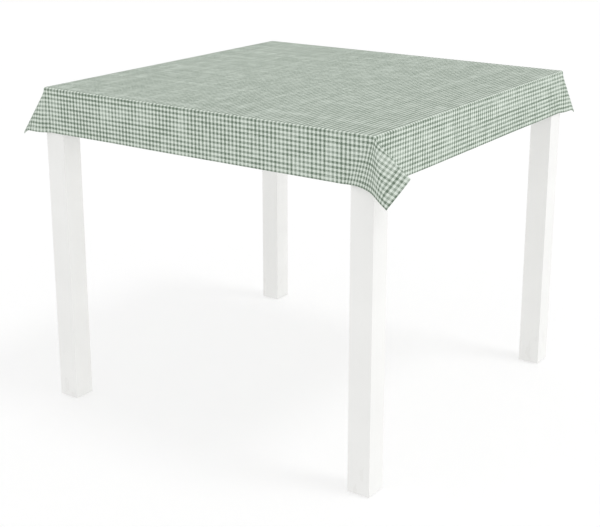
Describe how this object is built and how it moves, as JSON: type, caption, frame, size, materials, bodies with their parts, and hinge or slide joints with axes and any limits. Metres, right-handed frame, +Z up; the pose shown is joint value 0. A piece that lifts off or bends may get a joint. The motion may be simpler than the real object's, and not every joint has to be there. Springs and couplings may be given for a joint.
{
  "type": "tablecloth on a table",
  "caption": "Square gingham cotton cloth laid over a small square table with straight white legs; it hangs a hand's width down each side, flutes at the corners and lifts off.",
  "frame": {"origin": "on the floor under the middle of the table", "axes": "+Z up, -Y to the table's front, +X to its right; the board's sides run along X and Y"},
  "size_m": [0.9874, 0.9874, 0.7765],
  "materials": {
    "gingham_cotton": "plain-woven yarn-dyed cotton, green and white check, matte",
    "hem_cotton": "the same cotton, turned twice and stitched",
    "white_lacquer": "white lacquer, satin",
    "board_melamine": "white melamine, satin",
    "zinc_sheet": "zinc-plated sheet steel",
    "fastener_steel": "zinc-plated steel",
    "glide_plastic": "moulded polyethylene"
  },
  "bodies": {
    "table": {"table_top": "board_melamine", "apron_back": "white_lacquer", "top_clip_back": "zinc_sheet", "clip_screw_board_back": "fastener_steel", "clip_screw_apron_back": "fastener_steel", "apron_left": "white_lacquer", "top_clip_left": "zinc_sheet", "clip_screw_board_left": "fastener_steel", "clip_screw_apron_left": "fastener_steel", "apron_front": "white_lacquer", "top_clip_front": "zinc_sheet", "clip_screw_board_front": "fastener_steel", "clip_screw_apron_front": "fastener_steel", "apron_right": "white_lacquer", "top_clip_right": "zinc_sheet", "clip_screw_board_right": "fastener_steel", "clip_screw_apron_right": "fastener_steel", "leg_back_right": "white_lacquer", "foot_glide_back_right": "glide_plastic", "corner_bracket_back_right": "zinc_sheet", "hanger_bolt_back_right": "fastener_steel", "washer_back_right": "fastener_steel", "nut_back_right": "fastener_steel", "bracket_screw_a_back_right": "fastener_steel", "bracket_screw_b_back_right": "fastener_steel", "leg_back_left": "white_lacquer", "foot_glide_back_left": "glide_plastic", "corner_bracket_back_left": "zinc_sheet", "hanger_bolt_back_left": "fastener_steel", "washer_back_left": "fastener_steel", "nut_back_left": "fastener_steel", "bracket_screw_a_back_left": "fastener_steel", "bracket_screw_b_back_left": "fastener_steel", "leg_front_left": "white_lacquer", "foot_glide_front_left": "glide_plastic", "corner_bracket_front_left": "zinc_sheet", "hanger_bolt_front_left": "fastener_steel", "washer_front_left": "fastener_steel", "nut_front_left": "fastener_steel", "bracket_screw_a_front_left": "fastener_steel", "bracket_screw_b_front_left": "fastener_steel", "leg_front_right": "white_lacquer", "foot_glide_front_right": "glide_plastic", "corner_bracket_front_right": "zinc_sheet", "hanger_bolt_front_right": "fastener_steel", "washer_front_right": "fastener_steel", "nut_front_right": "fastener_steel", "bracket_screw_a_front_right": "fastener_steel", "bracket_screw_b_front_right": "fastener_steel"},
    "cloth": {"tablecloth": "gingham_cotton", "hem_back": "hem_cotton", "hem_left": "hem_cotton", "hem_front": "hem_cotton", "hem_right": "hem_cotton"}
  },
  "joints": [
    {"name": "cloth_lift", "type": "slide", "parent": "table", "child": "cloth", "axis": [0, 0, 1], "range_m": [0, 0.2]}
  ]
}
